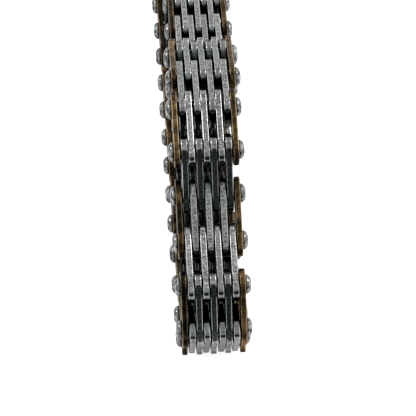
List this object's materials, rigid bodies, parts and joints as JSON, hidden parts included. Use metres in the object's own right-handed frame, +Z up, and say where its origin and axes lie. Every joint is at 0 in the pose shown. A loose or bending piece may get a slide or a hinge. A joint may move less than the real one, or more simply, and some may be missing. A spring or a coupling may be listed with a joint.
{
  "type": "timing chain",
  "caption": "Closed loop of inverted-tooth steel leaves laced on riveted pins between bronze guide plates, lying folded with one end reared up.",
  "frame": {"origin": "on the surface the chain lies on, under the middle of its bounding box", "axes": "+X along the pins, +Y along the chain from the reared fold towards the far bend, +Z up"},
  "size_m": [0.0174, 0.1698, 0.05],
  "materials": {
    "bronzed_steel": "satin",
    "centre_leaf_steel": "tumbled",
    "inner_leaf_steel": "tumbled"
  },
  "bodies": {
    "guide_row_01": {"guide_link_01": "bronzed_steel", "centre_leaves_01": "centre_leaf_steel"},
    "inner_row_01": {"inner_leaves_01": "inner_leaf_steel"},
    "guide_row_02": {"guide_link_02": "bronzed_steel", "centre_leaves_02": "centre_leaf_steel"},
    "inner_row_02": {"inner_leaves_02": "inner_leaf_steel"},
    "guide_row_03": {"guide_link_03": "bronzed_steel", "centre_leaves_03": "centre_leaf_steel"},
    "inner_row_03": {"inner_leaves_03": "inner_leaf_steel"},
    "guide_row_04": {"guide_link_04": "bronzed_steel", "centre_leaves_04": "centre_leaf_steel"},
    "inner_row_04": {"inner_leaves_04": "inner_leaf_steel"},
    "guide_row_05": {"guide_link_05": "bronzed_steel", "centre_leaves_05": "centre_leaf_steel"},
    "inner_row_05": {"inner_leaves_05": "inner_leaf_steel"},
    "guide_row_06": {"guide_link_06": "bronzed_steel", "centre_leaves_06": "centre_leaf_steel"},
    "inner_row_06": {"inner_leaves_06": "inner_leaf_steel"},
    "guide_row_07": {"guide_link_07": "bronzed_steel", "centre_leaves_07": "centre_leaf_steel"},
    "inner_row_07": {"inner_leaves_07": "inner_leaf_steel"},
    "guide_row_08": {"guide_link_08": "bronzed_steel", "centre_leaves_08": "centre_leaf_steel"},
    "inner_row_08": {"inner_leaves_08": "inner_leaf_steel"},
    "guide_row_09": {"guide_link_09": "bronzed_steel", "centre_leaves_09": "centre_leaf_steel"},
    "inner_row_09": {"inner_leaves_09": "inner_leaf_steel"},
    "guide_row_10": {"guide_link_10": "bronzed_steel", "centre_leaves_10": "centre_leaf_steel"},
    "inner_row_10": {"inner_leaves_10": "inner_leaf_steel"},
    "guide_row_11": {"guide_link_11": "bronzed_steel", "centre_leaves_11": "centre_leaf_steel"},
    "inner_row_11": {"inner_leaves_11": "inner_leaf_steel"},
    "guide_row_12": {"guide_link_12": "bronzed_steel", "centre_leaves_12": "centre_leaf_steel"},
    "inner_row_12": {"inner_leaves_12": "inner_leaf_steel"},
    "guide_row_13": {"guide_link_13": "bronzed_steel", "centre_leaves_13": "centre_leaf_steel"},
    "inner_row_13": {"inner_leaves_13": "inner_leaf_steel"},
    "guide_row_14": {"guide_link_14": "bronzed_steel", "centre_leaves_14": "centre_leaf_steel"},
    "inner_row_14": {"inner_leaves_14": "inner_leaf_steel"},
    "guide_row_15": {"guide_link_15": "bronzed_steel", "centre_leaves_15": "centre_leaf_steel"},
    "inner_row_15": {"inner_leaves_15": "inner_leaf_steel"},
    "guide_row_16": {"guide_link_16": "bronzed_steel", "centre_leaves_16": "centre_leaf_steel"},
    "inner_row_16": {"inner_leaves_16": "inner_leaf_steel"},
    "guide_row_17": {"guide_link_17": "bronzed_steel", "centre_leaves_17": "centre_leaf_steel"},
    "inner_row_17": {"inner_leaves_17": "inner_leaf_steel"},
    "guide_row_18": {"guide_link_18": "bronzed_steel", "centre_leaves_18": "centre_leaf_steel"},
    "inner_row_18": {"inner_leaves_18": "inner_leaf_steel"},
    "guide_row_19": {"guide_link_19": "bronzed_steel", "centre_leaves_19": "centre_leaf_steel"},
    "inner_row_19": {"inner_leaves_19": "inner_leaf_steel"},
    "guide_row_20": {"guide_link_20": "bronzed_steel", "centre_leaves_20": "centre_leaf_steel"},
    "inner_row_20": {"inner_leaves_20": "inner_leaf_steel"}
  },
  "joints": [
    {"name": "fold_rock", "type": "hinge", "parent": "inner_row_03", "child": "guide_row_04", "pos_m": [-0.00117, -0.00922, 0.00319], "axis": [1, 0, 0], "range_deg": [-8, 8]},
    {"name": "pin_08_hinge", "type": "hinge", "parent": "guide_row_04", "child": "inner_row_04", "pos_m": [-0.00117, -0.01875, 0.00319], "axis": [1, 0, 0], "range_deg": [-8, 8]},
    {"name": "pin_09_hinge", "type": "hinge", "parent": "inner_row_04", "child": "guide_row_05", "pos_m": [-0.00117, -0.02827, 0.00319], "axis": [1, 0, 0], "range_deg": [-8, 8]},
    {"name": "pin_10_hinge", "type": "hinge", "parent": "guide_row_05", "child": "inner_row_05", "pos_m": [-0.00117, -0.0378, 0.00319], "axis": [1, 0, 0], "range_deg": [-8, 8]},
    {"name": "pin_11_hinge", "type": "hinge", "parent": "inner_row_05", "child": "guide_row_06", "pos_m": [-0.00117, -0.04732, 0.00319], "axis": [1, 0, 0], "range_deg": [-8, 8]},
    {"name": "pin_12_hinge", "type": "hinge", "parent": "guide_row_06", "child": "inner_row_06", "pos_m": [-0.00117, -0.05685, 0.00323], "axis": [1, 0, 0], "range_deg": [-8, 8]},
    {"name": "pin_13_hinge", "type": "hinge", "parent": "inner_row_06", "child": "guide_row_07", "pos_m": [-0.00117, -0.06637, 0.0035], "axis": [1, 0, 0], "range_deg": [-8, 8]},
    {"name": "pin_14_hinge", "type": "hinge", "parent": "guide_row_07", "child": "inner_row_07", "pos_m": [-0.00117, -0.07557, 0.00596], "axis": [1, 0, 0], "range_deg": [-8, 8]},
    {"name": "pin_15_hinge", "type": "hinge", "parent": "inner_row_07", "child": "guide_row_08", "pos_m": [-0.00117, -0.08117, 0.01367], "axis": [1, 0, 0], "range_deg": [-8, 8]},
    {"name": "pin_16_hinge", "type": "hinge", "parent": "guide_row_08", "child": "inner_row_08", "pos_m": [-0.00117, -0.07823, 0.02273], "axis": [1, 0, 0], "range_deg": [-8, 8]},
    {"name": "pin_17_hinge", "type": "hinge", "parent": "inner_row_08", "child": "guide_row_09", "pos_m": [-0.00117, -0.06967, 0.0269], "axis": [1, 0, 0], "range_deg": [-8, 8]},
    {"name": "pin_18_hinge", "type": "hinge", "parent": "guide_row_09", "child": "inner_row_09", "pos_m": [-0.00117, -0.06281, 0.03352], "axis": [1, 0, 0], "range_deg": [-8, 8]},
    {"name": "pin_19_hinge", "type": "hinge", "parent": "inner_row_09", "child": "guide_row_10", "pos_m": [-0.00117, -0.05971, 0.04252], "axis": [1, 0, 0], "range_deg": [-8, 8]},
    {"name": "pin_20_hinge", "type": "hinge", "parent": "guide_row_10", "child": "inner_row_10", "pos_m": [-0.00117, -0.05101, 0.0464], "axis": [1, 0, 0], "range_deg": [-8, 8]},
    {"name": "pin_21_hinge", "type": "hinge", "parent": "inner_row_10", "child": "guide_row_11", "pos_m": [-0.00074, -0.04149, 0.0464], "axis": [1, 0, 0], "range_deg": [-8, 8]},
    {"name": "pin_22_hinge", "type": "hinge", "parent": "guide_row_11", "child": "inner_row_11", "pos_m": [-0.00074, -0.03217, 0.04442], "axis": [1, 0, 0], "range_deg": [-8, 8]},
    {"name": "pin_23_hinge", "type": "hinge", "parent": "inner_row_11", "child": "guide_row_12", "pos_m": [-0.00032, -0.02455, 0.0387], "axis": [1, 0, 0], "range_deg": [-8, 8]},
    {"name": "pin_24_hinge", "type": "hinge", "parent": "guide_row_12", "child": "inner_row_12", "pos_m": [-0.00032, -0.02414, 0.02919], "axis": [1, 0, 0], "range_deg": [-8, 8]},
    {"name": "pin_25_hinge", "type": "hinge", "parent": "inner_row_12", "child": "guide_row_13", "pos_m": [0.00011, -0.02044, 0.02041], "axis": [1, 0, 0], "range_deg": [-8, 8]},
    {"name": "pin_26_hinge", "type": "hinge", "parent": "guide_row_13", "child": "inner_row_13", "pos_m": [0.00011, -0.0127, 0.01486], "axis": [1, 0, 0], "range_deg": [-8, 8]},
    {"name": "strand_lift_1", "type": "hinge", "parent": "inner_row_13", "child": "guide_row_14", "pos_m": [0.00053, -0.00332, 0.01321], "axis": [1, 0, 0], "range_deg": [-8, 20]},
    {"name": "pin_28_hinge", "type": "hinge", "parent": "guide_row_14", "child": "inner_row_14", "pos_m": [0.00053, 0.00621, 0.01321], "axis": [1, 0, 0], "range_deg": [-20, 8]},
    {"name": "strand_lift_2", "type": "hinge", "parent": "inner_row_14", "child": "guide_row_15", "pos_m": [0.00096, 0.01573, 0.01321], "axis": [1, 0, 0], "range_deg": [-8, 20]},
    {"name": "pin_30_hinge", "type": "hinge", "parent": "guide_row_15", "child": "inner_row_15", "pos_m": [0.00096, 0.02526, 0.01321], "axis": [1, 0, 0], "range_deg": [-20, 8]},
    {"name": "pin_06_hinge", "type": "hinge", "parent": "inner_row_03", "child": "guide_row_03", "pos_m": [-0.00117, 0.0003, 0.00319], "axis": [1, 0, 0], "range_deg": [-8, 20]},
    {"name": "pin_05_hinge", "type": "hinge", "parent": "guide_row_03", "child": "inner_row_02", "pos_m": [-0.00117, 0.00983, 0.00319], "axis": [1, 0, 0], "range_deg": [-20, 8]},
    {"name": "pin_04_hinge", "type": "hinge", "parent": "inner_row_02", "child": "guide_row_02", "pos_m": [-0.00117, 0.01935, 0.00319], "axis": [1, 0, 0], "range_deg": [-8, 20]},
    {"name": "pin_03_hinge", "type": "hinge", "parent": "guide_row_02", "child": "inner_row_01", "pos_m": [-0.00117, 0.02888, 0.00319], "axis": [1, 0, 0], "range_deg": [-20, 8]},
    {"name": "strand_lift_3", "type": "hinge", "parent": "inner_row_01", "child": "guide_row_01", "pos_m": [-0.00117, 0.0384, 0.00319], "axis": [1, 0, 0], "range_deg": [-8, 20]},
    {"name": "pin_01_hinge", "type": "hinge", "parent": "guide_row_01", "child": "inner_row_20", "pos_m": [-0.00117, 0.04793, 0.00319], "axis": [1, 0, 0], "range_deg": [-20, 8]},
    {"name": "pin_40_hinge", "type": "hinge", "parent": "inner_row_20", "child": "guide_row_20", "pos_m": [-0.00074, 0.05745, 0.00321], "axis": [1, 0, 0], "range_deg": [-8, 8]},
    {"name": "pin_39_hinge", "type": "hinge", "parent": "guide_row_20", "child": "inner_row_19", "pos_m": [-0.00074, 0.06697, 0.00336], "axis": [1, 0, 0], "range_deg": [-8, 8]},
    {"name": "pin_38_hinge", "type": "hinge", "parent": "inner_row_19", "child": "guide_row_19", "pos_m": [-0.00032, 0.07641, 0.00469], "axis": [1, 0, 0], "range_deg": [-8, 8]},
    {"name": "pin_37_hinge", "type": "hinge", "parent": "guide_row_19", "child": "inner_row_18", "pos_m": [-0.00032, 0.08117, 0.01294], "axis": [1, 0, 0], "range_deg": [-8, 8]},
    {"name": "pin_36_hinge", "type": "hinge", "parent": "inner_row_18", "child": "guide_row_18", "pos_m": [0.00011, 0.07838, 0.02205], "axis": [1, 0, 0], "range_deg": [-8, 8]},
    {"name": "pin_35_hinge", "type": "hinge", "parent": "guide_row_18", "child": "inner_row_17", "pos_m": [0.00011, 0.06935, 0.02505], "axis": [1, 0, 0], "range_deg": [-8, 8]},
    {"name": "pin_34_hinge", "type": "hinge", "parent": "inner_row_17", "child": "guide_row_17", "pos_m": [0.00053, 0.0599, 0.02383], "axis": [1, 0, 0], "range_deg": [-8, 8]},
    {"name": "pin_33_hinge", "type": "hinge", "parent": "guide_row_17", "child": "inner_row_16", "pos_m": [0.00053, 0.05284, 0.01743], "axis": [1, 0, 0], "range_deg": [-8, 8]},
    {"name": "pin_32_hinge", "type": "hinge", "parent": "inner_row_16", "child": "guide_row_16", "pos_m": [0.00096, 0.04431, 0.01321], "axis": [1, 0, 0], "range_deg": [-8, 20]}
  ],
  "couplings": [
    {"joint": "pin_08_hinge", "follows": "fold_rock", "ratio": -1},
    {"joint": "pin_09_hinge", "follows": "fold_rock", "ratio": 1},
    {"joint": "pin_10_hinge", "follows": "fold_rock", "ratio": -1},
    {"joint": "pin_11_hinge", "follows": "fold_rock", "ratio": 1},
    {"joint": "pin_12_hinge", "follows": "fold_rock", "ratio": -1},
    {"joint": "pin_13_hinge", "follows": "fold_rock", "ratio": 1},
    {"joint": "pin_14_hinge", "follows": "fold_rock", "ratio": -1},
    {"joint": "pin_15_hinge", "follows": "fold_rock", "ratio": 1},
    {"joint": "pin_16_hinge", "follows": "fold_rock", "ratio": -1},
    {"joint": "pin_17_hinge", "follows": "fold_rock", "ratio": 1},
    {"joint": "pin_18_hinge", "follows": "fold_rock", "ratio": -1},
    {"joint": "pin_19_hinge", "follows": "fold_rock", "ratio": 1},
    {"joint": "pin_20_hinge", "follows": "fold_rock", "ratio": -1},
    {"joint": "pin_21_hinge", "follows": "fold_rock", "ratio": 1},
    {"joint": "pin_22_hinge", "follows": "fold_rock", "ratio": -1},
    {"joint": "pin_23_hinge", "follows": "fold_rock", "ratio": 1},
    {"joint": "pin_24_hinge", "follows": "fold_rock", "ratio": -1},
    {"joint": "pin_25_hinge", "follows": "fold_rock", "ratio": 1},
    {"joint": "pin_26_hinge", "follows": "fold_rock", "ratio": -1},
    {"joint": "pin_28_hinge", "follows": "strand_lift_1", "ratio": -1},
    {"joint": "pin_30_hinge", "follows": "strand_lift_2", "ratio": -1},
    {"joint": "pin_06_hinge", "follows": "strand_lift_1", "ratio": 1},
    {"joint": "pin_05_hinge", "follows": "strand_lift_1", "ratio": -1},
    {"joint": "pin_04_hinge", "follows": "strand_lift_2", "ratio": 1},
    {"joint": "pin_03_hinge", "follows": "strand_lift_2", "ratio": -1},
    {"joint": "pin_01_hinge", "follows": "strand_lift_3", "ratio": -1},
    {"joint": "pin_40_hinge", "follows": "fold_rock", "ratio": 1},
    {"joint": "pin_39_hinge", "follows": "fold_rock", "ratio": -1},
    {"joint": "pin_38_hinge", "follows": "fold_rock", "ratio": 1},
    {"joint": "pin_37_hinge", "follows": "fold_rock", "ratio": -1},
    {"joint": "pin_36_hinge", "follows": "fold_rock", "ratio": 1},
    {"joint": "pin_35_hinge", "follows": "fold_rock", "ratio": -1},
    {"joint": "pin_34_hinge", "follows": "fold_rock", "ratio": 1},
    {"joint": "pin_33_hinge", "follows": "fold_rock", "ratio": -1},
    {"joint": "pin_32_hinge", "follows": "strand_lift_3", "ratio": 1}
  ]
}
